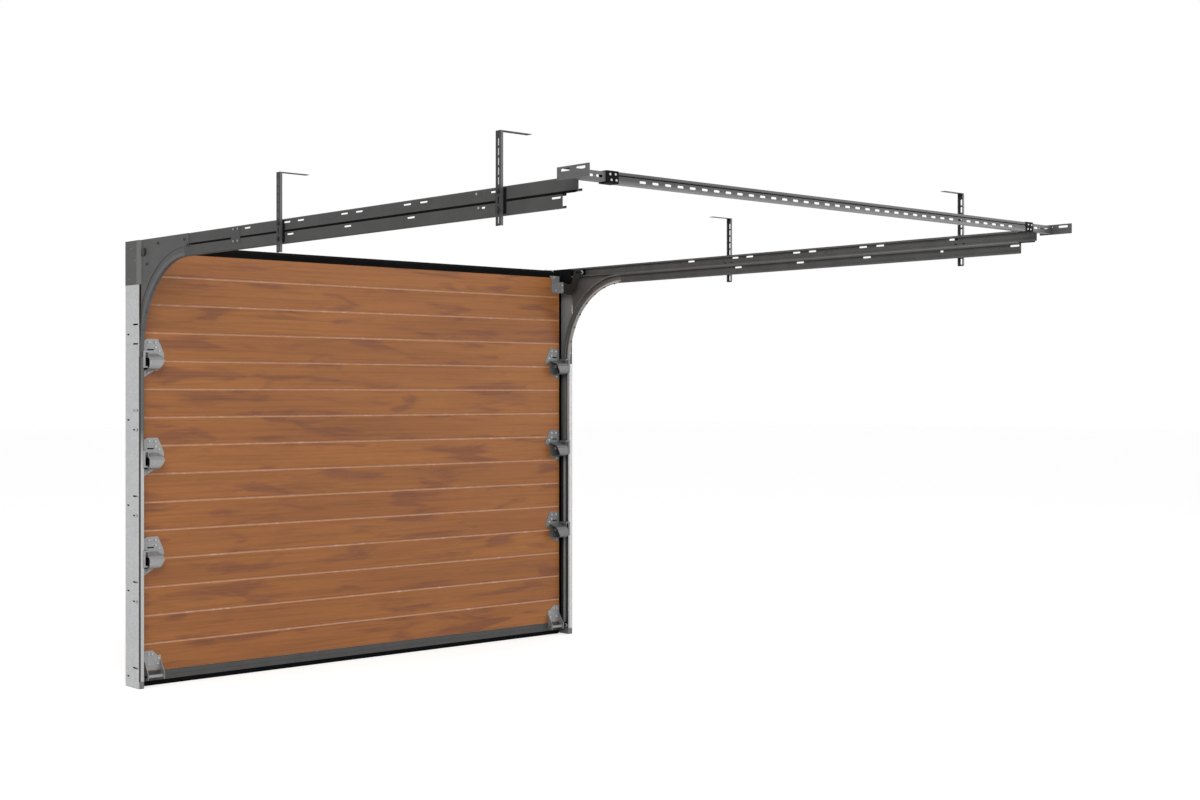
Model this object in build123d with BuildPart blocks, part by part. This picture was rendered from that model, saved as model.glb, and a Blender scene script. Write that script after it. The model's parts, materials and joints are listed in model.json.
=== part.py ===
from build123d import *
import math
import os

os.makedirs("parts", exist_ok=True)

# Sectional garage door for the inner side of a wall. X runs along the door, +Y points out of the
# garage, Z = 0 is the floor, and the origin lies on the wall face of the left post.

# Leaf: four sections of 4, 3.5, 3.5 and 4 planks between a bottom profile and a top seal
leaf_half = 1381.0
leaf_thick = 40.0
section_high = 500.0
planks_per_section = (4.0, 3.5, 3.5, 4.0)
plank = section_high / planks_per_section[1]
section_gap = 0.3
groove_up = 2.0
groove_down = 7.0
groove_deep = 3.0
interlock_wide = 14.0
interlock_high = 9.0
interlock_clear = 0.5
rubber_high = 26.0
rubber_wall = 4.0
rubber_key_wide = 15.0
rubber_key_high = 7.0
key_clear = 0.5
profile_high = 46.0
profile_proud = 2.0

# Tracks: C profiles that open towards the leaf
track_deep = 20.0
track_high = 54.0
track_sheet = 2.0
track_lip = 9.0
track_corner = 4.0
leaf_clear = 26.0
axle_offset = 31.0
curve_per_section = 0.964
curve_leg_bottom = 1140.0
lower_rail_end = 3365.0
upper_rail_end = 3450.0
rail_slot_long = 50.0
rail_slot_high = 9.0
rail_slot_drop = 15.0
rail_slot_first = 1131.0
rail_slot_pitch = 449.0
rail_slot_pair = 110.0
lower_slot_shift = 30.0
end_slot_in = 34.0
rail_slot_margin = 200.0

# Posts: a wall flange and a slotted web
post_sheet = 2.0
post_flange = 100.0
post_depth = 145.0
track_inset = 2.0
web_gap = 7.0
head_room = 28.0
web_hole_first = 54.0
web_hole_pitch = 430.0
web_hole_y = 31.0
web_hole_long = 24.0
web_slot_y = 109.0
web_slot_long = 56.0
web_slot_high = 8.0
web_slot_shift = 48.5
anchor_inset = 12.0
anchor_first = 250.0
anchor_pitch = 600.0
anchor_end = 150.0
anchor_radius = 5.5
standoff_half = 14.0

# Feet, head blocks, seals
foot_high = 36.0
foot_back = 50.0
foot_wall = 4.0
head_block_high = 86.0
head_block_nose = 26.0
seal_lift = 4.0
seal_clip = 6.0
seal_wide = 44.0
seal_lip = 6.0
top_seal_sheet = 3.0
top_seal_skirt = 26.0
top_seal_reach = 31.0
top_seal_rise = 20.0

# Corner plates
plate_sheet = 2.0
plate_high = 221.0
plate_past_bend = 44.0
plate_seam_out = 18.0
plate_bend = 11.5
plate_hole_radius = 4.5

# Hangers and cross bar
hanger_front_y = 1473.0
hanger_rear_y = 3018.0
hanger_wide = 30.0
hanger_deep = 12.0
hanger_sheet = 2.0
hanger_drop = 146.0
hanger_rise = 207.0
hanger_foot = 150.0
hanger_slot_long = 29.0
hanger_slot_wide = 9.0
hanger_slot_pitch = 36.0
foot_slot_long = 28.0
foot_slot_first = 30.0
foot_slot_pitch = 45.0
clamp_wide = 62.0
clamp_high = 96.0
side_room = 64.0
bar_inset = 225.0
bar_high = 41.0
bar_deep = 41.0
bar_drop = 21.0
bar_sheet = 2.0
bar_groove = 4.0
bar_groove_up = 28.0
bar_slot_up = 19.0
bar_slot_pitch = 64.0
bar_slot_long = 32.0
bar_slot_high = 9.0
bar_slot_margin = 120.0
connector_long = 55.0
connector_wall = 2.0
connector_grip = 20.0
stub_clear = 3.0
stub_slot_pitch = 44.0
stub_slot_long = 30.0
end_plate_long = 170.0
end_plate_high = 46.0
end_plate_sheet = 3.0
end_plate_front = 30.0
end_slot_first = 45.0
end_slot_pitch = 80.0
end_slot_long = 50.0
end_slot_wide = 10.0

# Rollers, hinges and brackets
axle_radius = 5.5
bore_clear = 0.4
tube_wall = 2.6
round_sides = 12
roller_clear = 2.5
roller_wide = 12.0
bottom_axle_z = 52.0
top_axle_y = 262.0
hinge_sheet = 2.5
hinge_edge = 2.0
hinge_wide = 109.0
hinge_up = 110.0
hinge_down = 84.0
hinge_head = 58.0
hinge_corner = 17.0
hinge_slot_long = 37.0
hinge_slot_high = 7.0
hinge_slot_up = 55.0
hood_wide = 74.0
hood_proud = 16.0
hood_top = 36.0
hood_ledge = 17.0
hood_nose = 15.0
hood_low = 46.0
hood_round = 24.0
hood_cut_wide = 25.0
hood_cut_high = 44.0
cheek_clear = 3.0
cheek_up = 47.0
cheek_down = 37.0
window_long = 38.0
window_high = 9.0
window_up = 29.0
ear_reach = 7.0
ear_clear = 3.5
ear_strip = 12.0
ear_bridge = 8.0
bracket_sheet = 3.0
bracket_wide = 80.0
bracket_high = 105.0
bracket_drop = 16.0
bracket_cheek_deep = 42.0
bracket_cheek_high = 67.0
arm_sheet = 4.0
arm_wide = 64.0
arm_eye = 24.0
arm_eye_high = 16.0
arm_back = 66.0
bottom_plate_low = 78.0
bottom_plate_high = 100.0
bottom_plate_wide = 92.0
bottom_plate_head = 47.0
bottom_step_high = 26.0
bottom_cheek_high = 52.0
bottom_eye = 16.0

track_opening = leaf_half + leaf_clear
track_outer = track_opening + track_deep
web_inner = track_outer + web_gap
post_half = web_inner + post_sheet
door_mid_x = post_half - post_flange / 2
wall_face_half = post_half + side_room
track_front_y = track_inset - post_depth
track_mid_y = track_front_y + track_high / 2
leaf_inner_y = track_mid_y + axle_offset
leaf_outer_y = leaf_inner_y + leaf_thick
leaf_mid_y = leaf_inner_y + leaf_thick / 2
wood_bottom = rubber_high + profile_high
wood_top = wood_bottom + plank * sum(planks_per_section)
track_top = wood_top + head_room
lower_rail_z = track_top - 1.5 * track_high
upper_rail_z = track_top - 0.5 * track_high
curve_radius = curve_per_section * section_high
curve_mid_y = track_mid_y - curve_radius
curve_mid_z = lower_rail_z - curve_radius
head_block_bottom = track_top - head_block_high
head_block_reach = head_block_nose - track_front_y
roller_mid = track_outer - track_deep / 2
roller_radius = track_high / 2 - track_sheet - roller_clear
bore_radius = axle_radius + bore_clear
tube_radius = bore_radius + tube_wall
hinge_start = leaf_half - hinge_edge
cheek_deep = axle_offset + track_high / 2 + ear_clear + hinge_sheet
hood_deep = cheek_deep + hood_proud
hood_ledge_deep = hood_deep - hood_nose
plate_seam_radius = curve_radius + plate_seam_out
plate_rear = plate_past_bend - curve_mid_y
sides = ((-1, "left"), (1, "right"))


def at(side, offset):
    return door_mid_x + side * offset


def box(x0, x1, y0, y1, z0, z1, mode=Mode.ADD):
    with Locations(((x0 + x1) / 2, (y0 + y1) / 2, (z0 + z1) / 2)):
        Box(abs(x1 - x0), abs(y1 - y0), abs(z1 - z0), mode=mode)


# Rods and bores along X, twelve-sided for the thin ones
def rod(x0, x1, y, z, radius, mode=Mode.ADD):
    with BuildSketch(Plane.YZ.offset(min(x0, x1))) as section:
        with Locations((y, z)):
            RegularPolygon(radius, round_sides)
    extrude(section.sketch, amount=abs(x1 - x0), mode=mode)


# Pressed slots with chamfered ends, cut through a sheet on the given plane
def slots(plane, spots, long, wide, turn=0):
    with BuildSketch(plane) as holes:
        with Locations(*spots):
            Rectangle(long, wide, rotation=turn)
        chamfer(holes.vertices(), 0.28 * wide)
    extrude(holes.sketch, amount=8, both=True, mode=Mode.SUBTRACT)


def save(shape, name):
    shape.part.label = name
    export_step(shape.part, f"parts/{name}.step")


# How many features of one pitch fit between a first place and a last one
def count_between(first, last, pitch):
    return int((last - first) / pitch) + 1


# Leaf sections with bevelled plank grooves and an interlocking edge
section_tops = [wood_top]
for planks in planks_per_section:
    section_tops.append(section_tops[-1] - planks * plank)
last_section = len(planks_per_section) - 1


def groove(face, inward, z):
    Polygon(
        (face, z + groove_up),
        (face + inward * groove_deep, z),
        (face, z - groove_down),
        align=None,
        mode=Mode.SUBTRACT,
    )


for index in range(last_section + 1):
    high = section_tops[index]
    low = section_tops[index + 1] + (section_gap if index < last_section else 0.0)
    with BuildPart() as section:
        with BuildSketch(Plane.YZ.offset(at(-1, leaf_half))):
            with Locations((leaf_mid_y, (high + low) / 2)):
                Rectangle(leaf_thick, high - low)
            if index > 0:
                with Locations((leaf_mid_y, high + interlock_high / 2)):
                    Trapezoid(interlock_wide, interlock_high, 75)
            if index < last_section:
                with Locations((leaf_mid_y, low + (interlock_high + interlock_clear) / 2)):
                    Trapezoid(interlock_wide + 2 * interlock_clear, interlock_high + interlock_clear, 75,
                              mode=Mode.SUBTRACT)
            for step in range(round(sum(planks_per_section)) + 1):
                groove_z = wood_bottom + step * plank
                if low - groove_up < groove_z < high + groove_down:
                    groove(leaf_inner_y, 1, groove_z)
                    groove(leaf_outer_y, -1, groove_z)
        extrude(amount=2 * leaf_half)
    save(section, f"leaf_section_{index + 1}")

# Bottom profile with a bead along its lower edge, and the hollow rubber keyed into it
with BuildPart() as bottom_profile:
    with BuildSketch(Plane.YZ.offset(at(-1, leaf_half))):
        with BuildLine():
            Polyline(
                (leaf_outer_y, rubber_high),
                (leaf_outer_y, wood_bottom),
                (leaf_inner_y, wood_bottom),
                (leaf_inner_y - profile_proud, wood_bottom - profile_proud),
                (leaf_inner_y - profile_proud, wood_bottom - profile_high / 2),
                (leaf_inner_y, wood_bottom - profile_high / 2 - profile_proud),
                (leaf_inner_y, rubber_high + 3 * profile_proud),
                (leaf_inner_y - profile_proud, rubber_high + 2 * profile_proud),
                (leaf_inner_y - profile_proud, rubber_high),
                close=True,
            )
        make_face()
        with Locations((leaf_mid_y, rubber_high + (rubber_key_high + key_clear) / 2)):
            Rectangle(rubber_key_wide + 2 * key_clear, rubber_key_high + key_clear, mode=Mode.SUBTRACT)
    extrude(amount=2 * leaf_half)
save(bottom_profile, "bottom_profile")

with BuildPart() as bottom_rubber:
    with BuildSketch(Plane.YZ.offset(at(-1, leaf_half))) as rubber_section:
        with Locations((leaf_mid_y, rubber_high / 2)):
            Rectangle(leaf_thick - 1, rubber_high)
        chamfer(rubber_section.vertices().group_by(Axis.Y)[0], rubber_high / 3)
        offset(amount=-rubber_wall, mode=Mode.SUBTRACT)
        with Locations((leaf_mid_y, rubber_high + rubber_key_high / 2)):
            Rectangle(rubber_key_wide, rubber_key_high)
    extrude(amount=2 * leaf_half)
save(bottom_rubber, "bottom_rubber")

# Top seal: an angle over the edge of the leaf with a lip that leans on the lintel
with BuildPart() as top_seal:
    with BuildSketch(Plane.YZ.offset(at(-1, leaf_half))):
        with BuildLine():
            Polyline(
                (leaf_inner_y, wood_top - top_seal_skirt),
                (leaf_inner_y, wood_top),
                (leaf_outer_y, wood_top),
                (leaf_outer_y + top_seal_reach, wood_top + top_seal_rise),
                (leaf_outer_y + top_seal_reach, wood_top + top_seal_rise + top_seal_sheet),
                (leaf_outer_y - 1, wood_top + top_seal_sheet),
                (leaf_inner_y - top_seal_sheet, wood_top + top_seal_sheet),
                (leaf_inner_y - top_seal_sheet, wood_top - top_seal_skirt),
                close=True,
            )
        make_face()
    extrude(amount=2 * leaf_half)
save(top_seal, "top_seal")


# Rows of short slots in the post's web, each with a long slot below it and one above it
hole_heights = []
for row in range(count_between(web_hole_first, track_top - plate_high, web_hole_pitch)):
    hole_heights.append(web_hole_first + web_hole_pitch * row)
slots_below = [z - web_slot_shift for z in hole_heights[1:]]
slots_above = [z + web_slot_shift for z in hole_heights]

# Wall posts: sheet bent to a wall flange and a slotted web
for side, word in sides:
    outer = at(side, post_half)
    with BuildPart() as post:
        box(at(side, post_half - post_flange), outer, -post_sheet, 0, 0, track_top)
        box(at(side, web_inner), outer, -post_depth, 0, 0, track_top)
        spots = [(-web_hole_y, hole_z) for hole_z in hole_heights]
        slots(Plane.YZ.offset(outer), spots, web_hole_long, web_slot_high)
        spots = [(-web_slot_y, slot_z) for slot_z in slots_below + slots_above]
        slots(Plane.YZ.offset(outer), spots, web_slot_long, web_slot_high)
        anchor_x = at(side, post_half - post_flange + anchor_inset)
        anchors = count_between(anchor_first, track_top - anchor_end, anchor_pitch)
        with BuildSketch(Plane.XZ) as anchor_holes:
            with Locations(*[(anchor_x, anchor_first + anchor_pitch * row) for row in range(anchors)]):
                Circle(anchor_radius)
        extrude(anchor_holes.sketch, amount=8, both=True, mode=Mode.SUBTRACT)
    save(post, f"post_{word}")

# Side seals: a clip strip on each wall flange with a lip that leans on the leaf
with BuildPart() as side_seals:
    for side, word in sides:
        with BuildSketch(Plane.XY.offset(seal_lift)) as seal_section:
            with BuildLine():
                Polyline(
                    (at(side, leaf_half + seal_wide / 2), -post_sheet),
                    (at(side, leaf_half - seal_wide / 2), -post_sheet),
                    (at(side, leaf_half - seal_wide / 2), -post_sheet - seal_clip),
                    (at(side, leaf_half - 2 * seal_lip), -post_sheet - seal_clip),
                    (at(side, leaf_half - 3 * seal_lip), leaf_outer_y),
                    (at(side, leaf_half - 2 * seal_lip), leaf_outer_y),
                    (at(side, leaf_half), -post_sheet - seal_clip),
                    (at(side, leaf_half + seal_wide / 2), -post_sheet - seal_clip),
                    close=True,
                )
            make_face()
        extrude(seal_section.sketch, amount=head_block_bottom - seal_lift)
save(side_seals, "side_seals")

# Feet that carry the tracks, hollow under each track
with BuildPart() as post_feet:
    for side, word in sides:
        box(at(side, track_opening), at(side, web_inner), track_front_y, -foot_back, 0, foot_high)
        box(at(side, track_opening + foot_wall), at(side, track_outer - foot_wall), track_front_y + foot_wall,
            track_front_y + track_high - foot_wall, foot_wall, foot_high + 1, Mode.SUBTRACT)
save(post_feet, "post_feet")

# Head blocks between the posts and the rails, with a nose that closes the front end of the upper rail
with BuildPart() as head_blocks:
    for side, word in sides:
        box(at(side, track_opening), at(side, web_inner), track_front_y, -post_sheet,
            head_block_bottom, track_top)
        box(at(side, track_opening), at(side, track_outer), -head_block_reach, track_front_y,
            head_block_bottom, track_top)
save(head_blocks, "head_blocks")


# C profile of all tracks, drawn in the plane of its cross section, with bevelled outer corners
def track_profile(side, middle):
    back = at(side, track_outer)
    mouth = at(side, track_opening)
    toe = at(side, track_outer - track_corner)
    Polygon(
        (mouth, middle - track_high / 2),
        (toe, middle - track_high / 2),
        (back, middle - track_high / 2 + track_corner),
        (back, middle + track_high / 2 - track_corner),
        (toe, middle + track_high / 2),
        (mouth, middle + track_high / 2),
        align=None,
    )
    offset(amount=-track_sheet, mode=Mode.SUBTRACT)
    with Locations((mouth, middle)):
        Rectangle(3 * track_sheet, track_high - 2 * track_lip, mode=Mode.SUBTRACT)


# Welded stand-offs that hold a track clear of the post's web
def standoffs(side, heights):
    for z in heights:
        box(at(side, track_outer), at(side, web_inner), track_mid_y - standoff_half,
            track_mid_y + standoff_half, z - standoff_half, z + standoff_half)


for side, word in sides:
    with BuildPart() as vertical_track:
        with BuildSketch(Plane.XY.offset(foot_high)):
            track_profile(side, track_mid_y)
        extrude(amount=curve_leg_bottom - foot_high)
        standoffs(side, [z for z in slots_below if z < curve_leg_bottom - standoff_half])
    save(vertical_track, f"vertical_track_{word}")

    with BuildPart() as curved_track:
        with BuildSketch(Plane.XY.offset(curve_leg_bottom)):
            track_profile(side, track_mid_y)
        extrude(amount=curve_mid_z - curve_leg_bottom)
        with BuildSketch(Plane.XZ.offset(-curve_mid_y)):
            track_profile(side, lower_rail_z)
        revolve(axis=Axis((0, curve_mid_y, curve_mid_z), (-1, 0, 0)), revolution_arc=90)
        leg_low = curve_leg_bottom + standoff_half
        leg_high = curve_mid_z - standoff_half
        standoffs(side, [z for z in slots_below if leg_low < z < leg_high])
    save(curved_track, f"curved_track_{word}")

    rail_slots = count_between(rail_slot_first, upper_rail_end - rail_slot_margin, rail_slot_pitch)
    with BuildPart() as lower_rail:
        with BuildSketch(Plane.XZ.offset(-curve_mid_y)):
            track_profile(side, lower_rail_z)
        extrude(amount=lower_rail_end + curve_mid_y)
        slot_z = lower_rail_z + track_high / 2 - rail_slot_drop
        spots = []
        for step in range(1, rail_slots):
            spots.append((lower_slot_shift - rail_slot_first - rail_slot_pitch * step, slot_z))
        spots.append((end_slot_in - lower_rail_end, slot_z))
        slots(Plane.YZ.offset(at(side, track_outer)), spots, rail_slot_long, rail_slot_high)
    save(lower_rail, f"lower_rail_{word}")

    with BuildPart() as upper_rail:
        with BuildSketch(Plane.XZ.offset(head_block_reach)):
            track_profile(side, upper_rail_z)
        extrude(amount=upper_rail_end - head_block_reach)
        spots = []
        for step in range(rail_slots):
            for shift in (-rail_slot_pair / 2, rail_slot_pair / 2):
                spots.append((shift - rail_slot_first - rail_slot_pitch * step, track_top - rail_slot_drop))
        slots(Plane.YZ.offset(at(side, track_outer)), spots, rail_slot_long, rail_slot_high)
    save(upper_rail, f"upper_rail_{word}")

    # Corner plate: lies on the post, steps in at the post's front edge and ends on the curved track
    bend_y = -post_depth - plate_bend
    with BuildPart() as corner_plate:
        with BuildSketch(Plane.YZ.offset(at(side, track_outer))):
            with BuildLine():
                start_angle = math.acos((bend_y - curve_mid_y) / plate_seam_radius)
                start = (bend_y, curve_mid_z + plate_seam_radius * math.sin(start_angle))
                end = (curve_mid_y, curve_mid_z + plate_seam_radius)
                RadiusArc(start, end, -plate_seam_radius)
                Polyline(end, (-plate_rear, end[1]), (-plate_rear, track_top), (bend_y, track_top), start)
            make_face()
        extrude(amount=side * plate_sheet)
        with BuildSketch(Plane.XY.offset(track_top - plate_high)):
            with BuildLine():
                Polyline(
                    (at(side, post_half), -post_sheet),
                    (at(side, post_half + plate_sheet), -post_sheet),
                    (at(side, post_half + plate_sheet), -post_depth - plate_sheet),
                    (at(side, track_outer + plate_sheet), bend_y - plate_sheet),
                    (at(side, track_outer), bend_y - plate_sheet),
                    (at(side, track_outer), bend_y),
                    (at(side, post_half), -post_depth - 0.2),
                    close=True,
                )
            make_face()
        extrude(amount=plate_high)
        for depth_share, drop_share in ((0.73, 0.45), (0.46, 0.18), (0.3, 0.87)):
            rod(at(side, post_half - 1), at(side, post_half + 2 * plate_sheet), -depth_share * post_depth,
                track_top - drop_share * plate_high, plate_hole_radius, Mode.SUBTRACT)
    save(corner_plate, f"corner_plate_{word}")

# Hangers: shallow slotted channels, bent over at the top to a foot for the ceiling
hanger_face = track_outer + plate_sheet
hanger_out = hanger_face + hanger_deep
hanger_bottom = track_top - hanger_drop
hanger_top = track_top + hanger_rise
for side, word in sides:
    for hanger_y, place in ((-hanger_front_y, "front"), (-hanger_rear_y, "rear")):
        near = hanger_y + hanger_wide / 2
        far = hanger_y - hanger_wide / 2
        with BuildPart() as hanger:
            box(at(side, hanger_face), at(side, hanger_out), far, near, hanger_bottom, hanger_top)
            box(at(side, hanger_face - 1), at(side, hanger_out - hanger_sheet), far + hanger_sheet,
                near - hanger_sheet, hanger_bottom - 1, hanger_top - hanger_sheet, Mode.SUBTRACT)
            box(at(side, hanger_out - hanger_foot), at(side, hanger_out), far, near,
                hanger_top - hanger_sheet, hanger_top)
            rows = count_between(hanger_bottom + hanger_slot_pitch / 2, hanger_top - hanger_slot_pitch,
                                 hanger_slot_pitch)
            spots = [(hanger_y, hanger_bottom + hanger_slot_pitch * (row + 0.6)) for row in range(rows)]
            slots(Plane.YZ.offset(at(side, hanger_out)), spots, hanger_slot_long, hanger_slot_wide, 90)
            spots = []
            for step in range(2):
                along = foot_slot_first + foot_slot_pitch * step
                spots.append((at(side, hanger_out - hanger_foot + along), hanger_y))
            slots(Plane.XY.offset(hanger_top), spots, foot_slot_long, hanger_slot_wide)
        save(hanger, f"hanger_{word}_{place}")

# Clamp plates that bolt the hangers to both rails
with BuildPart() as hanger_clamps:
    for side, word in sides:
        for hanger_y in (-hanger_front_y, -hanger_rear_y):
            box(at(side, track_outer), at(side, hanger_face), hanger_y - clamp_wide / 2,
                hanger_y + clamp_wide / 2, track_top - track_high - clamp_high / 2,
                track_top - track_high + clamp_high / 2)
save(hanger_clamps, "hanger_clamps")

# Cross bar: slotted channel with a pressed groove along its face
bar_half = wall_face_half - bar_inset
bar_front = -upper_rail_end
bar_face = bar_front - bar_deep
bar_bottom = track_top - bar_drop
bar_top = bar_bottom + bar_high
with BuildPart() as cross_bar:
    with BuildSketch(Plane.YZ.offset(at(-1, bar_half))):
        for inset in (0.0, bar_sheet):
            with BuildLine():
                Polyline(
                    (bar_front + inset, bar_bottom + inset),
                    (bar_face + inset, bar_bottom + inset),
                    (bar_face + inset, bar_bottom + bar_groove_up - bar_groove / 2),
                    (bar_face + bar_groove + inset, bar_bottom + bar_groove_up),
                    (bar_face + inset, bar_bottom + bar_groove_up + bar_groove / 2),
                    (bar_face + inset, bar_top - inset),
                    (bar_front + inset, bar_top - inset),
                    close=True,
                )
            make_face(mode=Mode.SUBTRACT if inset else Mode.ADD)
    extrude(amount=2 * bar_half)
    slot_count = int((2 * bar_half - bar_slot_margin) / bar_slot_pitch)
    spots = []
    for step in range(slot_count):
        spots.append((door_mid_x + (step - (slot_count - 1) / 2) * bar_slot_pitch, bar_bottom + bar_slot_up - 5))
    slots(Plane.XZ.offset(-bar_face), spots, bar_slot_long, bar_slot_high)
save(cross_bar, "cross_bar")

# Sleeves that join the cross bar to its telescopic ends
with BuildPart() as bar_connectors:
    for side, word in sides:
        box(at(side, bar_half - connector_wall), at(side, bar_half + connector_long), bar_face - connector_wall,
            bar_front, bar_bottom - connector_wall, bar_top + connector_wall)
        box(at(side, bar_half - connector_wall - 1), at(side, bar_half + connector_grip), bar_face,
            bar_front + 1, bar_bottom, bar_top, Mode.SUBTRACT)
save(bar_connectors, "bar_connectors")

with BuildPart() as bar_stubs:
    for side, word in sides:
        stub_start = bar_half + connector_long
        stub_end = wall_face_half - end_plate_sheet
        box(at(side, stub_start), at(side, stub_end), bar_face + stub_clear, bar_front,
            bar_bottom + stub_clear, bar_top - stub_clear)
        box(at(side, stub_start - 1), at(side, stub_end + 1), bar_face + stub_clear + bar_sheet, bar_front + 1,
            bar_bottom + stub_clear + bar_sheet, bar_top - stub_clear - bar_sheet, Mode.SUBTRACT)
        rows = count_between(stub_start + stub_slot_pitch, stub_end - stub_slot_pitch / 2, stub_slot_pitch)
        spots = []
        for step in range(rows):
            spots.append((at(side, stub_start + stub_slot_pitch * (step + 0.7)), bar_bottom + bar_high / 2))
        slots(Plane.XZ.offset(-bar_face - stub_clear), spots, stub_slot_long, bar_slot_high)
save(bar_stubs, "bar_stubs")

# Plates that bolt the ends of the bar to the side walls
with BuildPart() as wall_plates:
    for side, word in sides:
        plate_front = bar_front + end_plate_front
        plate_low = bar_bottom - connector_wall
        box(at(side, wall_face_half - end_plate_sheet), at(side, wall_face_half),
            plate_front - end_plate_long, plate_front, plate_low, plate_low + end_plate_high)
        with BuildSketch(Plane.YZ.offset(at(side, wall_face_half))) as plate_slots:
            for step in range(2):
                with Locations((plate_front - end_slot_first - end_slot_pitch * step, bar_top - bar_slot_high)):
                    SlotOverall(end_slot_long, end_slot_wide)
        extrude(plate_slots.sketch, amount=8, both=True, mode=Mode.SUBTRACT)
save(wall_plates, "wall_plates")


# Tube around an axle, fused to the sheet that holds it, with its bore
def axle_tube(side, start, end, y, z):
    rod(at(side, start), at(side, end), y, z, tube_radius)
    rod(at(side, start - 1), at(side, end + 1), y, z, bore_radius, Mode.SUBTRACT)


# Outline of the hinge's hood, seen from its end
def hood_line(joint_z):
    face = leaf_inner_y
    front = face - hood_deep
    low = joint_z - hood_low
    with BuildLine() as outline:
        ledge = Line((face, joint_z + hood_top), (face - hood_ledge_deep, joint_z + hood_ledge))
        nose = Line(ledge @ 1, (front, joint_z + hood_ledge - hood_deep + hood_ledge_deep))
        drop = Line(nose @ 1, (front, low + hood_round))
        belly = TangentArc(drop @ 1, (front + hood_round, low), tangent=(0, -1))
        back = Line(belly @ 1, (face, low - 2 * hinge_sheet))
        Line(back @ 1, ledge @ 0)
    return outline.line


# Side hinge: plates on both sections, a hood that carries the axle, a cheek and an ear beside the track
def make_hinge(side, joint_z):
    face = leaf_inner_y
    hood_start = hinge_start - hood_wide
    cheek_in = leaf_half + cheek_clear
    cheek_out = cheek_in + hinge_sheet
    with BuildPart() as hinge:
        with BuildSketch(Plane.XZ.offset(-face)) as plates:
            Polygon(
                (at(side, hinge_start), joint_z + hood_ledge),
                (at(side, hinge_start), joint_z + hinge_up - hinge_corner / 2),
                (at(side, hinge_start - hinge_corner), joint_z + hinge_up),
                (at(side, hinge_start - hinge_corner - hinge_head), joint_z + hinge_up),
                (at(side, hinge_start - hinge_wide + hinge_corner), joint_z + hinge_up - 2 * hinge_corner),
                (at(side, hinge_start - hinge_wide), joint_z + hood_top),
                (at(side, hinge_start - hinge_wide), joint_z + hood_ledge),
                align=None,
            )
            Polygon(
                (at(side, hinge_start), joint_z - hood_ledge),
                (at(side, hinge_start), joint_z - hinge_down),
                (at(side, hinge_start - hinge_head), joint_z - hinge_down + 2 * hinge_corner),
                (at(side, hood_cut_wide / 2 + hood_start), joint_z - hood_low),
                (at(side, hood_start), joint_z - hood_ledge),
                align=None,
            )
        extrude(plates.sketch, amount=hinge_sheet)
        slot_x = at(side, hinge_start - hinge_corner - hinge_slot_long / 2)
        slots(Plane.XZ.offset(-face), [(slot_x, joint_z + hinge_slot_up)], hinge_slot_long, hinge_slot_high)
        with BuildSketch(Plane.YZ.offset(min(at(side, hood_start), at(side, cheek_in)))) as hood:
            make_face(hood_line(joint_z).edges())
            offset(amount=-hinge_sheet, mode=Mode.SUBTRACT)
        extrude(hood.sketch, amount=cheek_in - hood_start)
        with BuildSketch(Plane.XZ.offset(-face + hinge_sheet)) as corner:
            Polygon(
                (at(side, hood_start - 1), joint_z + hood_cut_high - hood_low),
                (at(side, hood_start - 1), joint_z - hinge_down),
                (at(side, hood_start + hood_cut_wide), joint_z - hinge_down),
                (at(side, hood_start + hood_cut_wide), joint_z - hood_low),
                align=None,
            )
        extrude(corner.sketch, amount=hood_deep, mode=Mode.SUBTRACT)
        with BuildSketch(Plane.YZ.offset(min(at(side, cheek_in), at(side, cheek_out)))) as cheek:
            make_face(hood_line(joint_z).edges())
            Polygon(
                (face, joint_z + cheek_up),
                (face - cheek_deep, joint_z + cheek_up),
                (face - cheek_deep, joint_z - cheek_down),
                (face, joint_z - cheek_down),
                align=None,
            )
            with Locations((face - cheek_deep / 2, joint_z + window_up)):
                Rectangle(window_long, window_high, mode=Mode.SUBTRACT)
        extrude(cheek.sketch, amount=hinge_sheet)
        box(at(side, cheek_out), at(side, track_opening + ear_reach), face - cheek_deep,
            face - cheek_deep + hinge_sheet, joint_z - cheek_down, joint_z + cheek_up)
        box(at(side, cheek_out), at(side, track_opening + ear_reach - ear_strip), face - cheek_deep - 1,
            face - cheek_deep + hinge_sheet + 1, joint_z - cheek_down + ear_bridge,
            joint_z + cheek_up - ear_bridge, Mode.SUBTRACT)
        axle_tube(side, hood_start + hood_cut_wide, cheek_out, track_mid_y, joint_z)
    return hinge


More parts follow.
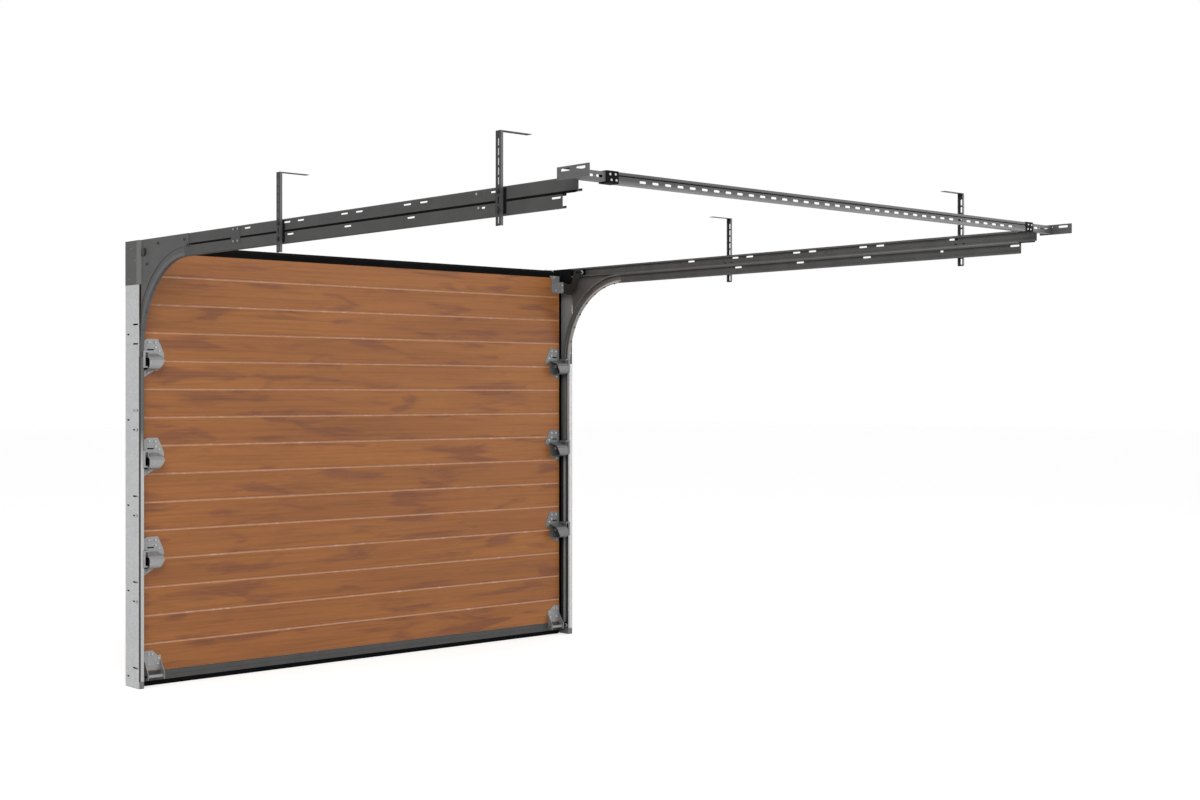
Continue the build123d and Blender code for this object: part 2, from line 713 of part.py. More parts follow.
for side, word in sides:
    for index in range(last_section):
        save(make_hinge(side, section_tops[index + 1]), f"hinge_{word}_{index + 1}")

    # Top bracket: plate over the seal, bent forward to a cheek beside the end of the leaf
    bracket_face = leaf_inner_y - top_seal_sheet
    bracket_top = wood_top - bracket_drop
    bracket_low = bracket_top - bracket_high
    with BuildPart() as top_bracket:
        with BuildSketch(Plane.XZ.offset(-bracket_face)) as plate:
            Polygon(
                (at(side, hinge_start), bracket_low),
                (at(side, hinge_start), bracket_top),
                (at(side, hinge_start - bracket_wide), bracket_top),
                (at(side, hinge_start - bracket_wide + hinge_corner), bracket_top - hinge_corner),
                (at(side, hinge_start - bracket_wide + hinge_corner), bracket_low),
                align=None,
            )
        extrude(plate.sketch, amount=bracket_sheet)
        box(at(side, hinge_start - bracket_sheet), at(side, hinge_start), bracket_face - bracket_cheek_deep,
            bracket_face, bracket_low, bracket_low + bracket_cheek_high)
    save(top_bracket, f"top_bracket_{word}")

    # Top roller arm: cranked plate from the cheek up to the roller in the upper rail
    arm_root = bracket_face - bracket_cheek_deep
    with BuildPart() as top_arm:
        with BuildSketch(Plane.YZ.offset(min(at(side, hinge_start), at(side, hinge_start + arm_sheet)))) as arm:
            Polygon(
                (arm_root + arm_eye_high, bracket_low),
                (arm_root + arm_eye_high, bracket_low + bracket_cheek_high),
                (arm_root - arm_back, bracket_low + arm_wide - arm_eye_high),
                (-top_axle_y + arm_eye, upper_rail_z + arm_eye_high),
                (-top_axle_y - arm_eye, upper_rail_z + arm_eye_high),
                (-top_axle_y - arm_eye, upper_rail_z - arm_eye_high),
                (-top_axle_y, upper_rail_z - arm_wide),
                (arm_root - arm_back, bracket_low - arm_eye_high),
                align=None,
            )
        extrude(arm.sketch, amount=arm_sheet)
        axle_tube(side, hinge_start - 2 * arm_sheet, hinge_start + arm_sheet, -top_axle_y, upper_rail_z)
    save(top_arm, f"top_roller_arm_{word}")

    # Bottom bracket: plate on the lowest plank with two cheeks that reach down to the lowest axle
    bottom_start = hinge_start - bottom_plate_wide
    bottom_top = bottom_plate_low + bottom_plate_high
    with BuildPart() as bottom_bracket:
        with BuildSketch(Plane.XZ.offset(-leaf_inner_y)) as plate:
            Polygon(
                (at(side, hinge_start), bottom_plate_low),
                (at(side, hinge_start), bottom_top),
                (at(side, hinge_start - bottom_plate_head), bottom_top),
                (at(side, hinge_start - bottom_plate_head - bottom_step_high), bottom_top - bottom_step_high),
                (at(side, bottom_start), bottom_top - bottom_step_high),
                (at(side, bottom_start), bottom_plate_low),
                align=None,
            )
        extrude(plate.sketch, amount=bracket_sheet)
        for start in (bottom_start, hinge_start - bracket_sheet):
            with BuildSketch(Plane.YZ.offset(min(at(side, start), at(side, start + bracket_sheet)))) as cheek:
                Polygon(
                    (leaf_inner_y - bracket_sheet, bottom_plate_low),
                    (leaf_inner_y - bracket_sheet, bottom_plate_low + bottom_cheek_high),
                    (track_mid_y - bottom_eye, bottom_axle_z + bottom_eye),
                    (track_mid_y - bottom_eye, bottom_axle_z - bottom_eye),
                    (track_mid_y + bottom_eye, bottom_axle_z - bottom_eye),
                    align=None,
                )
            extrude(cheek.sketch, amount=bracket_sheet)
        axle_tube(side, bottom_start, hinge_start, track_mid_y, bottom_axle_z)
    save(bottom_bracket, f"bottom_bracket_{word}")

    # Rollers on their axles: four in the vertical part of the track and one in the upper rail
    with BuildPart() as rollers:
        hood_end = hinge_start - hood_wide + hood_cut_wide - 8
        spots = [(track_mid_y, z, hood_end) for z in section_tops[1:last_section + 1]]
        spots.append((track_mid_y, bottom_axle_z, bottom_start - 6))
        spots.append((-top_axle_y, upper_rail_z, hinge_start - 3 * arm_sheet))
        for axle_y, axle_z, start in spots:
            rod(at(side, start), at(side, roller_mid), axle_y, axle_z, axle_radius)
            with Locations(Location((at(side, roller_mid), axle_y, axle_z), (0, 90, 0))):
                Cylinder(roller_radius, roller_wide)
    save(rollers, f"rollers_{word}")
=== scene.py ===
import json
import math

import bmesh
import bpy
from mathutils import Matrix, Vector


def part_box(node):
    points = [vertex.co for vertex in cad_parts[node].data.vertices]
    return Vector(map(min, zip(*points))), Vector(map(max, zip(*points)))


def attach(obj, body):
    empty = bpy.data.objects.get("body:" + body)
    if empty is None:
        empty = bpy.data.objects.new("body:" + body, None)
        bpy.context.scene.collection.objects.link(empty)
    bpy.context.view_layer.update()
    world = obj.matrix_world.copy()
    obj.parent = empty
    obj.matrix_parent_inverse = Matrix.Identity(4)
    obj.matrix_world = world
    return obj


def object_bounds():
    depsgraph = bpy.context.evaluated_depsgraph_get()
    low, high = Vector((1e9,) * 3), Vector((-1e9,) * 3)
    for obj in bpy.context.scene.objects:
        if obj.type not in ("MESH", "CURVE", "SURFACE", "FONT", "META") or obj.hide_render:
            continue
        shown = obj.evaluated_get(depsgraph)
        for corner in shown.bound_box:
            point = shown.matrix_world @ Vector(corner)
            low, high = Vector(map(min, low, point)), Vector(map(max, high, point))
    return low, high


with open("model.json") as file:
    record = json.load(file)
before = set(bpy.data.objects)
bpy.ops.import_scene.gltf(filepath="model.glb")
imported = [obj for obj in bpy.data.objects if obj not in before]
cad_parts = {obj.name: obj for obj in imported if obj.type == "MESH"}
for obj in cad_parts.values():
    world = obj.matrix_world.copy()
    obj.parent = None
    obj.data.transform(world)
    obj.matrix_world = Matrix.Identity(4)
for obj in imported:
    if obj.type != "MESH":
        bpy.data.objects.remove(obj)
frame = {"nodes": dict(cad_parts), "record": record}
nodes = frame["nodes"]
scene = bpy.context.scene
cad_low, cad_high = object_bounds()

# Camera: level, fitted to the plank lines, posts and rails of the photograph, which is 1200 by 800
photo_width = 1200.0
photo_mid_px = 400.0
horizon_px = 394.3
focal_px = 1654.2
sensor_mm = 36.0
heading = math.radians(42.14)
camera_place = Vector((-3.881, -7.808, 1.473))

# Places of the door, in metres, read from the frame; offsets count from the middle of the door
leaf_low, leaf_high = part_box("leaf_section_4")
rail_low, rail_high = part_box("upper_rail_left")
bar_low, bar_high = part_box("cross_bar")
door_mid = (leaf_low.x + leaf_high.x) / 2
leaf_half = (leaf_high.x - leaf_low.x) / 2
leaf_front = leaf_low.y
leaf_back = leaf_high.y
wood_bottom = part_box("bottom_profile")[1].z
post_half = door_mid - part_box("post_left")[0].x
track_outer = door_mid - rail_low.x
track_mouth = door_mid - rail_high.x
track_middle = (track_outer + track_mouth) / 2
track_top = rail_high.z
track_tall = rail_high.z - rail_low.z
rails_joint_z = rail_low.z

# The bend of the tracks, and the planks, of which a half metre section has three and a half
bend_radius = 0.482
bend_inner = bend_radius - track_tall / 2
bend_mid_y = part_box("curved_track_left")[0].y
bend_mid_z = rails_joint_z - track_tall / 2 - bend_radius
plank = 1.0 / 7.0
hinge_rows = [wood_bottom + planks * plank for planks in (11.0, 7.5, 4.0)]
axle_y = leaf_front - 0.031
bottom_axle_z = 0.052
top_axle_y = -0.262

sides = ((-1, "left"), (1, "right"))
into_room = (0, -1, 0)
into_wall = (0, 1, 0)
upwards = (0, 0, 1)


def make_camera():
    data = bpy.data.cameras.new("photo_camera")
    data.sensor_width = sensor_mm
    data.lens = focal_px / photo_width * sensor_mm
    data.shift_y = (horizon_px - photo_mid_px) / photo_width
    data.clip_end = 100.0
    camera = bpy.data.objects.new("photo_camera", data)
    camera.location = camera_place
    camera.rotation_euler = (math.pi / 2, 0.0, -heading)
    scene.collection.objects.link(camera)
    scene.camera = camera


# Short forms for building node trees
def start_material(name):
    material = bpy.data.materials.new(name)
    material.use_nodes = True
    tree = material.node_tree
    return material, tree, tree.nodes["Principled BSDF"]


def add_node(tree, kind, settings=None, inputs=None):
    node = tree.nodes.new(kind)
    for key, value in (settings or {}).items():
        setattr(node, key, value)
    for key, value in (inputs or {}).items():
        if isinstance(value, bpy.types.NodeSocket):
            tree.links.new(value, node.inputs[key])
        else:
            node.inputs[key].default_value = value
    return node


def object_place(tree):
    return add_node(tree, "ShaderNodeTexCoord").outputs["Object"]


def split_axes(tree, vector):
    return add_node(tree, "ShaderNodeSeparateXYZ", None, {"Vector": vector}).outputs


def stretched(tree, vector, scale):
    return add_node(tree, "ShaderNodeMapping", None, {"Vector": vector, "Scale": scale}).outputs["Vector"]


def noise(tree, vector, scale, detail, roughness=0.5, distortion=0.0):
    inputs = {
        "Vector": vector, "Scale": scale, "Detail": detail, "Roughness": roughness, "Distortion": distortion,
    }
    return add_node(tree, "ShaderNodeTexNoise", None, inputs).outputs["Fac"]


def ramp(tree, value, stops):
    node = add_node(tree, "ShaderNodeValToRGB", None, {"Fac": value})
    elements = node.color_ramp.elements
    while len(elements) < len(stops):
        elements.new(0.5)
    for element, (position, color) in zip(elements, stops):
        element.position = position
        element.color = (*color, 1.0)
    return node.outputs["Color"]


def mix_colors(tree, blend, factor, first, second):
    settings = {"data_type": "RGBA", "blend_type": blend}
    return add_node(tree, "ShaderNodeMix", settings, {0: factor, 6: first, 7: second}).outputs[2]


def calculate(tree, operation, first, second=0.0):
    return add_node(tree, "ShaderNodeMath", {"operation": operation}, {0: first, 1: second}).outputs[0]


def multiply(tree, first, second):
    return calculate(tree, "MULTIPLY", first, second)


def fade(tree, value, start, end):
    inputs = {"Value": value, "From Min": start, "From Max": end}
    return add_node(tree, "ShaderNodeMapRange", {"clamp": True}, inputs).outputs["Result"]


# One on faces that look along an axis, forwards or backwards, and nothing on those turned away
def facing(tree, axis, way):
    turned = add_node(tree, "ShaderNodeNewGeometry").outputs["Normal"]
    return fade(tree, split_axes(tree, turned)[axis], way * 0.6, way * 0.9)


def bump(tree, shader, height, distance, strength):
    inputs = {"Height": height, "Distance": distance, "Strength": strength}
    node = add_node(tree, "ShaderNodeBump", None, inputs)
    tree.links.new(node.outputs["Normal"], shader.inputs["Normal"])


# Colours: three parts for a ramp, or four for a socket
def grey(tone):
    return tone, tone, tone


def solid(color):
    return *color, 1.0


def tinted(tone, red, green, blue):
    return tone * red, tone * green, tone * blue


# Cloudy patches between a dark and a light colour
def patches(tree, place, scale, detail, dark, light):
    return ramp(tree, noise(tree, place, scale, detail), ((0.3, dark), (0.7, light)))


def set_surface(tree, shader, color, metallic, roughness):
    tree.links.new(color, shader.inputs["Base Color"])
    shader.inputs["Metallic"].default_value = metallic
    shader.inputs["Roughness"].default_value = roughness


def zinc_grain(tree, shader, place):
    bump(tree, shader, noise(tree, place, 400.0, 3.0), 0.0003, 0.3)


def coat_grain(tree, shader, place, scale=900.0):
    bump(tree, shader, noise(tree, place, scale, 2.0), 0.0002, 0.5)


make_camera()

# Oak foil: shares of a plank where the pale groove starts and ends, and how far its shade reaches
groove_start = 0.052
groove_end = 0.078
groove_painted_shade_end = 0.104
plank_shift = 3.71
embossed_depth = 0.02
dark_figure = (0.185, 0.064, 0.028)
dark_speck = (0.10, 0.045, 0.03)
groove_painted_shade = (0.10, 0.04, 0.022)


# Golden oak foil on embossed sheet: every plank has its own figure; the grooves inside show pale, partly as
# pale foil and partly as a painted highlight, with a band of painted shade beside them
def oak_foil():
    material, tree, shader = start_material("golden_oak_foil")
    split = split_axes(tree, object_place(tree))
    height = calculate(tree, "DIVIDE", calculate(tree, "SUBTRACT", split["Z"], wood_bottom), plank)
    row = calculate(tree, "FLOOR", height)
    along = calculate(tree, "ADD", split["X"], multiply(tree, row, plank_shift))
    inputs = {"X": along, "Y": multiply(tree, split["Y"], 0.3), "Z": split["Z"]}
    board = add_node(tree, "ShaderNodeCombineXYZ", None, inputs).outputs["Vector"]

    patch = noise(tree, stretched(tree, board, (2.2, 1.0, 13.0)), 1.0, 3.0, 0.5, 0.6)
    tone = noise(tree, stretched(tree, board, (0.6, 1.0, 3.0)), 1.0, 2.0)
    streak = noise(tree, stretched(tree, board, (1.6, 1.0, 75.0)), 1.0, 4.0, 0.6, 0.2)
    fibre = noise(tree, stretched(tree, board, (14.0, 1.0, 420.0)), 1.0, 3.0, 0.6)
    fleck = noise(tree, stretched(tree, board, (26.0, 1.0, 150.0)), 1.0, 2.0)
    groove_sheen_noise = noise(tree, stretched(tree, board, (22.0, 1.0, 4.0)), 1.0, 3.0)

    color = ramp(tree, tone, ((0.30, (0.262, 0.095, 0.027)), (0.70, (0.335, 0.128, 0.033))))
    figure = multiply(tree, fade(tree, patch, 0.53, 0.64), 0.75)
    color = mix_colors(tree, "MIX", figure, color, solid(dark_figure))
    streaks = ramp(tree, streak, ((0.36, (0.80, 0.76, 0.76)), (0.56, (1.06, 1.04, 1.02))))
    color = mix_colors(tree, "MULTIPLY", 0.75, color, streaks)
    fibres = ramp(tree, fibre, ((0.36, (0.88, 0.86, 0.86)), (0.60, (1.05, 1.04, 1.03))))
    color = mix_colors(tree, "MULTIPLY", 0.7, color, fibres)
    specks = multiply(tree, fade(tree, fleck, 0.70, 0.76), 0.5)
    color = mix_colors(tree, "MIX", specks, color, solid(dark_speck))

    # Pale band of each groove, partly a painted highlight, then a dark band of painted shade just above it
    within = calculate(tree, "FRACT", calculate(tree, "ADD", height, groove_start))
    lower_edge = fade(tree, within, 0.0, 0.010)
    upper_edge = fade(tree, within, groove_end, groove_end - 0.010)
    shade_rise = fade(tree, within, groove_end - 0.004, groove_end + 0.002)
    shade_fall = fade(tree, within, groove_painted_shade_end, groove_painted_shade_end - 0.014)
    shade = multiply(tree, multiply(tree, shade_rise, shade_fall), 0.45)
    color = mix_colors(tree, "MIX", shade, color, solid(groove_painted_shade))
    inner = calculate(tree, "LESS_THAN", split["Y"], leaf_back - embossed_depth)
    groove = multiply(tree, multiply(tree, lower_edge, upper_edge), inner)
    # Groove colour: pale foil with a painted highlight, not wear
    pale_foil_and_sheen = ((0.40, (0.42, 0.205, 0.11)), (0.62, (0.48, 0.25, 0.145)), (0.75, (0.54, 0.43, 0.37)))
    color = mix_colors(tree, "MIX", groove, color, ramp(tree, groove_sheen_noise, pale_foil_and_sheen))
    set_surface(tree, shader, color, 0.0, 0.5)
    shader.inputs["Specular IOR Level"].default_value = 0.35
    bump(tree, shader, fibre, 0.0004, 0.5)
    return material


# Grey of each crystal in a zinc coat, from nothing to one
def crystals(tree, place):
    inputs = {"Vector": place, "Scale": 110.0, "Randomness": 1.0}
    cells = add_node(tree, "ShaderNodeTexVoronoi", None, inputs).outputs["Color"]
    return add_node(tree, "ShaderNodeRGBToBW", None, {"Color": cells}).outputs["Val"]


def clouded(tree, place, color, scale, dark, light):
    return mix_colors(tree, "MULTIPLY", 1.0, color, patches(tree, place, scale, 4.0, grey(dark), grey(light)))


# Zinc coat: nearly even grey with faint crystals; faces towards the room may get a tone of their own, which
# is painted light
def zinc(name, tone, metallic=0.25, roughness=0.46, front_light_tone=None):
    material, tree, shader = start_material(name)
    place = object_place(tree)
    dark = tinted(tone, 0.93, 0.94, 0.95)
    light = tinted(tone, 1.07, 1.08, 1.09)
    color = ramp(tree, crystals(tree, place), ((0.2, dark), (0.8, light)))
    if front_light_tone is not None:
        # Painted light: faces towards the room take the front tone
        color = mix_colors(tree, "MIX", facing(tree, "Y", -1), color, solid(grey(front_light_tone)))
    set_surface(tree, shader, clouded(tree, place, color, 5.0, 0.96, 1.02), metallic, roughness)
    zinc_grain(tree, shader, place)
    return material


# Coats and mouldings: an even colour that varies a little, with a fine grain
def coat(name, dark, light, roughness, grain, metallic=0.0, gloss=0.5):
    material, tree, shader = start_material(name)
    place = object_place(tree)
    set_surface(tree, shader, patches(tree, place, 11.0, 5.0, dark, light), metallic, roughness)
    shader.inputs["Specular IOR Level"].default_value = gloss
    coat_grain(tree, shader, place, grain)
    return material


# Corner plates: the dark coat, paler with a painted highlight where the sheet bends in at the front edge of
# the post
def corner_painted_light_coat(name, body):
    material, tree, shader = start_material(name)
    place = object_place(tree)
    depth = split_axes(tree, place)["Y"]
    color = patches(tree, place, 9.0, 5.0, tinted(body, 0.85, 0.85, 0.84), tinted(body, 1.15, 1.15, 1.12))
    # Painted highlight along the fold
    fold = multiply(tree, fade(tree, depth, -0.122, -0.128), fade(tree, depth, -0.162, -0.158))
    color = mix_colors(tree, "MIX", fold, color, solid((0.135, 0.135, 0.133)))
    set_surface(tree, shader, color, 0.15, 0.5)
    coat_grain(tree, shader, place)
    return material


# Posts: bright outside; the face towards the leaf is duller with painted shade, most of all below
def post_inner_shade_zinc(side, word):
    material, tree, shader = start_material(f"{word}_post_zinc_coat")
    place = object_place(tree)
    outside = ((0.2, (0.502, 0.508, 0.513)), (0.8, (0.578, 0.583, 0.589)))
    color = ramp(tree, crystals(tree, place), outside)
    # Painted shade on the face towards the leaf, deepest low down
    height = fade(tree, split_axes(tree, place)["Z"], 1.1, 1.85)
    inside = ramp(tree, height, ((0.0, grey(0.045)), (1.0, grey(0.30))))
    color = mix_colors(tree, "MIX", facing(tree, "X", -side), color, inside)
    set_surface(tree, shader, clouded(tree, place, color, 5.0, 0.96, 1.02), 0.25, 0.46)
    zinc_grain(tree, shader, place)
    return material


# Lip of the left post, with light and shade painted on: a painted shadow along its fold, pale beside the leaf
# below and dull above as a painted dark reflection
def left_lip_light_and_shade():
    material, tree, shader = start_material("left_lip_zinc_coat")
    place = object_place(tree)
    split = split_axes(tree, place)
    height = fade(tree, split["Z"], 1.12, 1.30)
    color = ramp(tree, height, ((0.0, grey(0.45)), (1.0, grey(0.085))))
    offset = calculate(tree, "SUBTRACT", door_mid, split["X"])
    fold = fade(tree, offset, post_half - 0.0105, post_half - 0.0085)
    color = mix_colors(tree, "MIX", fold, color, solid(grey(0.012)))
    set_surface(tree, shader, color, 0.1, 0.5)
    zinc_grain(tree, shader, place)
    return material


# Cross bar: bands of painted light and shade by height, palest along its lower edge, darkest at the fold and
# dull above it
def bar_light_and_shade_zinc():
    material, tree, shader = start_material("bar_zinc_coat")
    place = object_place(tree)
    share = fade(tree, split_axes(tree, place)["Z"], bar_low.z, bar_high.z)
    light_and_shade_bands = (
        (0.0, 0.13), (0.22, 0.088), (0.34, 0.048), (0.60, 0.040),
        (0.68, 0.018), (0.76, 0.020), (0.82, 0.058), (1.0, 0.068),
    )
    color = ramp(tree, share, [(spot, grey(tone)) for spot, tone in light_and_shade_bands])
    set_surface(tree, shader, clouded(tree, place, color, 9.0, 0.92, 1.04), 0.35, 0.45)
    zinc_grain(tree, shader, place)
    return material


# Bent tracks: paler along the inner rim of the bend, a painted highlight
def bend_highlight_coat(name, body, rim):
    material, tree, shader = start_material(name)
    place = object_place(tree)
    split = split_axes(tree, place)
    back = calculate(tree, "SUBTRACT", split["Y"], bend_mid_y)
    up = calculate(tree, "MAXIMUM", calculate(tree, "SUBTRACT", split["Z"], bend_mid_z), 0.0)
    squares = calculate(tree, "ADD", multiply(tree, back, back), multiply(tree, up, up))
    radius = calculate(tree, "SQRT", squares)
    color = patches(tree, place, 11.0, 5.0, tinted(body, 0.9, 0.9, 0.88), tinted(body, 1.1, 1.1, 1.08))
    outer_edge = fade(tree, radius, bend_inner + 0.021, bend_inner + 0.015)
    inner_edge = fade(tree, radius, bend_inner - 0.002, bend_inner + 0.004)
    color = mix_colors(tree, "MIX", multiply(tree, outer_edge, inner_edge), color, solid(grey(rim)))
    set_surface(tree, shader, color, 0.15, 0.5)
    coat_grain(tree, shader, place)
    return material


# The finish of each slot in the record
finishes = {
    "oak_foil": oak_foil(),
    "galvanised": zinc("zinc_coat", 0.455),
    "dark_steel": coat("dark_grey_coat", (0.050, 0.050, 0.049), (0.068, 0.068, 0.066), 0.5, 900.0, 0.15),
    "dark_profile": coat("dark_profile_coat", grey(0.036), (0.050, 0.050, 0.049), 0.55, 700.0),
    "seal_rubber": coat("seal_rubber", grey(0.0025), grey(0.005), 0.9, 500.0, 0.0, 0.05),
    "black_plastic": coat("black_moulding", grey(0.0025), grey(0.0045), 0.7, 600.0, 0.0, 0.08),
    "black_steel": coat("black_steel_coat", grey(0.012), grey(0.020), 0.5, 800.0, 0.0, 0.3),
}

# Sheet that differs in tone from the rest of its slot, as the photograph shows
# Hinge and bracket zinc: the right-hand copies are darker than the left, as painted shade
hinge_zinc = zinc("hinge_zinc_coat", 0.28, 0.35, 0.42)
right_shaded_hinge_zinc = zinc("right_hinge_zinc_coat", 0.165, 0.4, 0.45)
right_shaded_bracket_zinc = zinc("right_bracket_zinc_coat", 0.26, 0.4, 0.45)
# Right vertical track: painted shade on its body and a painted reflection on its face towards the room
right_shaded_track_zinc = zinc("right_track_zinc_coat", 0.07, 0.4, 0.45, 0.55)
dull_zinc = zinc("dull_zinc_coat", 0.095, 0.4, 0.45)
foot_zinc = zinc("foot_zinc_coat", 0.16, 0.4, 0.5)
# Hangers: a dark sheet whose face towards the room is lighter, as painted light
hanger_lit_front_zinc = zinc("hanger_zinc_coat", 0.026, 0.4, 0.45, 0.10)
seam_highlight_zinc = zinc("rail_edge_highlight_coat", 0.15, 0.2, 0.45)
# Post lips: the left with painted light and shade, the right bright as a painted reflection
lip_light_and_shade = {"left": left_lip_light_and_shade(), "right": zinc("lip_zinc_coat", 0.60, 0.1, 0.5)}
# Rail coat in two copies: the left darker as painted shade, the right lighter as painted light
rail_lit_and_shaded_coat = {
    "left": coat("left_rail_coat", (0.030, 0.030, 0.029), (0.042, 0.042, 0.041), 0.5, 900.0, 0.15),
    "right": coat("right_rail_coat", (0.070, 0.070, 0.069), (0.092, 0.092, 0.090), 0.5, 900.0, 0.15),
}

# Finishes by the start of a node's name, used instead of its slot's
special_finishes = {
    "post_left": post_inner_shade_zinc(-1, "left"),
    "post_right": post_inner_shade_zinc(1, "right"),
    "post_feet": foot_zinc,
    # The right corner plate is lighter than the left, as painted light
    "corner_plate_left": corner_painted_light_coat("left_corner_coat", 0.060),
    "corner_plate_right": corner_painted_light_coat("right_corner_coat", 0.105),
    "upper_rail_left": rail_lit_and_shaded_coat["left"],
    "lower_rail_left": rail_lit_and_shaded_coat["left"],
    "upper_rail_right": rail_lit_and_shaded_coat["right"],
    "lower_rail_right": rail_lit_and_shaded_coat["right"],
    # The right bend is lighter, with a brighter rim, than the left: painted light
    "curved_track_left": bend_highlight_coat("left_bend_coat", 0.058, 0.095),
    "curved_track_right": bend_highlight_coat("right_bend_coat", 0.13, 0.50),
    "vertical_track_right": right_shaded_track_zinc,
    "hanger_left": hanger_lit_front_zinc,
    "hanger_right": hanger_lit_front_zinc,
    "cross_bar": bar_light_and_shade_zinc(),
    "bar_stubs": dull_zinc,
    "wall_plates": dull_zinc,
    "hinge_left": hinge_zinc,
    "hinge_right": right_shaded_hinge_zinc,
    "bottom_bracket_left": hinge_zinc,
    "bottom_bracket_right": right_shaded_bracket_zinc,
    "top_bracket_left": hinge_zinc,
    "top_bracket_right": right_shaded_bracket_zinc,
}
for part in frame["record"]["subparts"]:
    node = nodes[part["node"]]
    finish = finishes[part["material_slot"]]
    for start, special in special_finishes.items():
        if part["node"].startswith(start):
            finish = special
    node.data.materials.clear()
    node.data.materials.append(finish)


# Finished pieces: mesh from a bmesh, finish, slot and body
def finish_piece(shape, name, slot, finish=None):
    bmesh.ops.recalc_face_normals(shape, faces=shape.faces)
    mesh = bpy.data.meshes.new(name)
    shape.to_mesh(mesh)
    shape.free()
    piece = bpy.data.objects.new(name, mesh)
    scene.collection.objects.link(piece)
    mesh.materials.append(finish or finishes[slot])
    mesh.shade_smooth()
    mesh.set_sharp_from_angle(angle=math.radians(35.0))
    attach(piece, "root")


# Turns the Z axis of new geometry to the given direction and moves it to a place
def aimed(place, direction):
    turn = Vector(direction).to_track_quat("Z", "Y").to_matrix().to_4x4()
    return Matrix.Translation(place) @ turn


def bevel(shape, edges, width):
    bmesh.ops.bevel(
        shape, geom=list(edges), offset=width, offset_type="OFFSET", segments=1,
        profile=0.5, affect="EDGES", clamp_overlap=True, material=-1,
    )


# A hexagon, disc or cone with eased rims, standing on a place along a direction
def add_stud(shape, place, direction, radius, high, flats=6, rim=0.15, tip=1.0):
    made = bmesh.ops.create_cone(
        shape, cap_ends=True, cap_tris=False, segments=flats, radius1=radius, radius2=radius * tip,
        depth=high, matrix=aimed(Vector(place) + Vector(direction) * high / 2, direction),
    )
    rims = {edge for vert in made["verts"] for edge in vert.link_edges}
    bevel(shape, rims, high * rim)


# A hexagon bolt on its washer, with the end of its thread above the nut
def add_bolt(shape, place, direction, size):
    washer_high = size * 0.16
    nut_high = size * 0.62
    foot = Vector(place)
    step = Vector(direction)
    add_stud(shape, foot, direction, size * 1.15, washer_high, 16, 0.3)
    add_stud(shape, foot + step * washer_high, direction, size * 0.85, nut_high)
    add_stud(shape, foot + step * (washer_high + nut_high), direction, size * 0.42, size * 0.25, 10, 0.3)


# A low round head, as on a pressed rivet
def add_rivet(shape, place, direction, radius):
    rim_high = radius * 0.28
    crown = Vector(place) + Vector(direction) * rim_high
    add_stud(shape, place, direction, radius, rim_high, 14, 0.0)
    add_stud(shape, crown, direction, radius, radius * 0.3, 14, 0.0, 0.55)


# A plate from its outline: extruded along one direction, with eased edges
def add_plate(shape, outline, direction, thick, edge):
    near = [shape.verts.new(point) for point in outline]
    made = bmesh.ops.extrude_face_region(shape, geom=[shape.faces.new(near)])
    far = [item for item in made["geom"] if isinstance(item, bmesh.types.BMVert)]
    bmesh.ops.translate(shape, verts=far, vec=Vector(direction) * thick)
    bevel(shape, {link for vert in near + far for link in vert.link_edges}, edge)


# The corners of a rectangle from its low and high values in two directions
def rectangle(low_a, high_a, low_b, high_b):
    return (low_a, low_b), (high_a, low_b), (high_a, high_b), (low_a, high_b)


def across(side, offset):
    return door_mid + side * offset


# Hinges: offset and rise of each bolt from its row, the slot in the plate with its dark sheet of painted
# shadow, and the dark cover of the cheek, which is painted shade
leaf_bolt_radius = 0.0062
leaf_bolt_high = 0.0042
hinge_sheet = 0.0025
hinge_bolt_spots = ((1.352, 0.092), (1.318, 0.092), (1.296, 0.050), (1.316, 0.066), (1.358, -0.062))
hinge_slot_offset = 1.3435
hinge_slot_rise = 0.055
hinge_slot = rectangle(-0.0185, 0.0185, -0.0032, 0.0032)
hinge_slot_sunk = 0.0003
hinge_slot_shadow_sheet = 0.0009
cheek_outer = leaf_half + 0.0055
cheek_cover_sheet = 0.0015
axle_end_radius = 0.0125
axle_end_high = 0.006
cheek_shade_cover = (
    (-0.006, 0.012), (-0.006, -0.044), (-0.052, -0.042), (-0.070, -0.034),
    (-0.0765, -0.022), (-0.0765, 0.004), (-0.066, 0.012),
)


# Bolts and dark slots on the hinge plates, and dark covers with the ends of the axles on the cheeks; the slot
# sheets are painted shadow and the cheek covers painted shade
def hinge_fittings(side, word):
    bolts = bmesh.new()
    covers = bmesh.new()
    slot_x = across(side, hinge_slot_offset)
    cheek_x = across(side, cheek_outer)
    for row in hinge_rows:
        for offset, up in hinge_bolt_spots:
            place = (across(side, offset), leaf_front - hinge_sheet, row + up)
            add_stud(bolts, place, into_room, leaf_bolt_radius, leaf_bolt_high)
        slot_z = row + hinge_slot_rise
        outline = [(slot_x + dx, leaf_front - hinge_slot_sunk, slot_z + dz) for dx, dz in hinge_slot]
        add_plate(covers, outline, into_room, hinge_slot_shadow_sheet, 0.0002)
        outline = [(cheek_x, leaf_front + dy, row + dz) for dy, dz in cheek_shade_cover]
        add_plate(covers, outline, (side, 0, 0), cheek_cover_sheet, 0.0004)
        place = (cheek_x + side * cheek_cover_sheet, axle_y, row)
        add_stud(covers, place, (side, 0, 0), axle_end_radius, axle_end_high, 24)
    finish_piece(bolts, f"hinge_bolts_{word}", "galvanised")
    finish_piece(covers, f"hinge_shade_covers_{word}", "black_plastic")


# Rollers: a bearing ring and a hub on the inner face of each wheel
wheel_half = 0.006
ring_radius = 0.013
ring_high = 0.0012
hub_radius = 0.0085
hub_high = 0.0035


